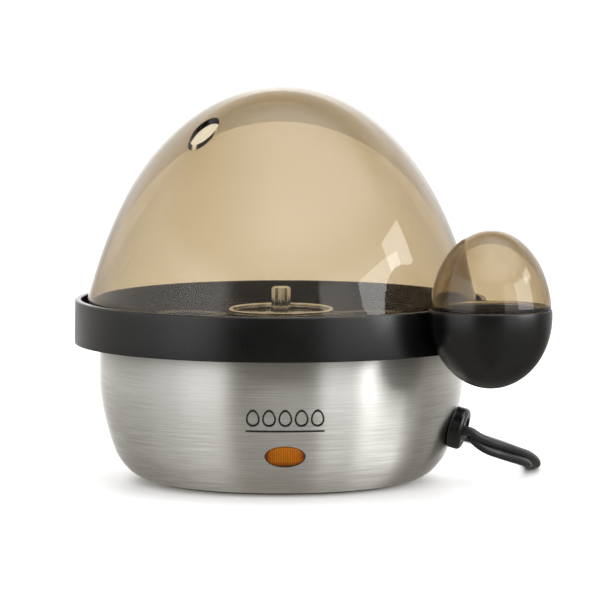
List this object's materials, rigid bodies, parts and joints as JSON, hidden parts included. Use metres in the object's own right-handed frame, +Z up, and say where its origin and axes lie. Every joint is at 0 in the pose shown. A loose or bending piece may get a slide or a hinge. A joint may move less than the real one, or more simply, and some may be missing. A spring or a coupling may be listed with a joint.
{
  "type": "egg cooker",
  "caption": "Electric steam egg cooker with a steel base, egg tray, lift-off smoked egg-shaped lid, side pod with measuring cup, start button and cord.",
  "frame": {"origin": "centre of the bottom cover's flat underside, on the axis of the base and dome; the feet reach 0.8 mm lower", "axes": "+Z up; -Y is the front, with the start button; the power cord leaves on the +X side and the measuring cup pod is at +X, -Y"},
  "size_m": [0.2148, 0.309, 0.1796],
  "materials": {
    "brushed_steel": "fine horizontal brushing",
    "polished_steel": "bright polished",
    "plain_steel": "plain zinc-plated steel",
    "non_stick_coating": "dark non-stick coat on aluminium",
    "black_plastic": "satin moulded",
    "smoked_plastic": "clear, smoked, polished",
    "clear_plastic": "clear, lightly smoked",
    "amber_lens": "translucent amber, ribbed",
    "cord_rubber": "matte flexible sheath",
    "foot_rubber": "matte",
    "silicone": "matte heat-proof silicone",
    "white_plastic": "moulded",
    "ceramic": "unglazed",
    "white_insulation": "glass-fibre sleeve",
    "blue_insulation": "heat-proof sleeve",
    "lamp_glass": "clear bulb",
    "brass": "stamped"
  },
  "bodies": {
    "base": {"base_shell": "brushed_steel", "bottom_cover": "black_plastic", "foot_1": "foot_rubber", "foot_2": "foot_rubber", "foot_3": "foot_rubber", "foot_4": "foot_rubber", "cover_screw_1": "plain_steel", "cover_screw_2": "plain_steel", "cover_screw_3": "plain_steel", "standoff_1": "plain_steel", "standoff_2": "plain_steel", "standoff_3": "plain_steel", "pan_gasket": "silicone", "water_pan": "non_stick_coating", "heating_element": "plain_steel", "element_terminal_1": "brass", "element_terminal_2": "brass", "thermostat": "ceramic", "thermostat_bracket": "plain_steel", "bracket_screw_1": "plain_steel", "bracket_screw_2": "plain_steel", "thermal_fuse": "plain_steel", "terminal_block": "white_plastic", "button_bezel": "black_plastic", "switch_housing": "black_plastic", "button_spring": "plain_steel", "neon_lamp": "lamp_glass", "switch_terminal_1": "brass", "switch_terminal_2": "brass", "strain_relief": "black_plastic", "cord_tail": "cord_rubber", "wire_live": "blue_insulation", "wire_neutral": "white_insulation", "wire_heater": "white_insulation", "wire_fuse": "white_insulation", "power_cord": "cord_rubber", "cord_coil": "cord_rubber", "plug_body": "cord_rubber", "plug_blade_1": "brass", "plug_blade_2": "brass"},
    "lid": {"lid_ring": "black_plastic", "dome": "smoked_plastic", "dome_retainer": "black_plastic", "piercing_pin": "plain_steel"},
    "cup": {"measuring_cup": "smoked_plastic"},
    "tray": {"egg_tray": "clear_plastic", "tray_knob": "polished_steel", "hub_trim": "polished_steel"},
    "button": {"power_button": "amber_lens"}
  },
  "joints": [
    {"name": "lid_lift", "type": "slide", "parent": "base", "child": "lid", "axis": [0, 0, 1], "range_m": [0, 0.12]},
    {"name": "cup_lift", "type": "slide", "parent": "lid", "child": "cup", "axis": [0, 0, 1], "range_m": [0, 0.045]},
    {"name": "tray_lift", "type": "slide", "parent": "base", "child": "tray", "axis": [0, 0, 1], "range_m": [0, 0.025]},
    {"name": "button_press", "type": "slide", "parent": "base", "child": "button", "axis": [0, 0.9542, 0.299], "range_m": [0, 0.002], "stiffness_N_per_m": 150, "springref_m": -0.003, "deforming": ["button_spring"]}
  ]
}
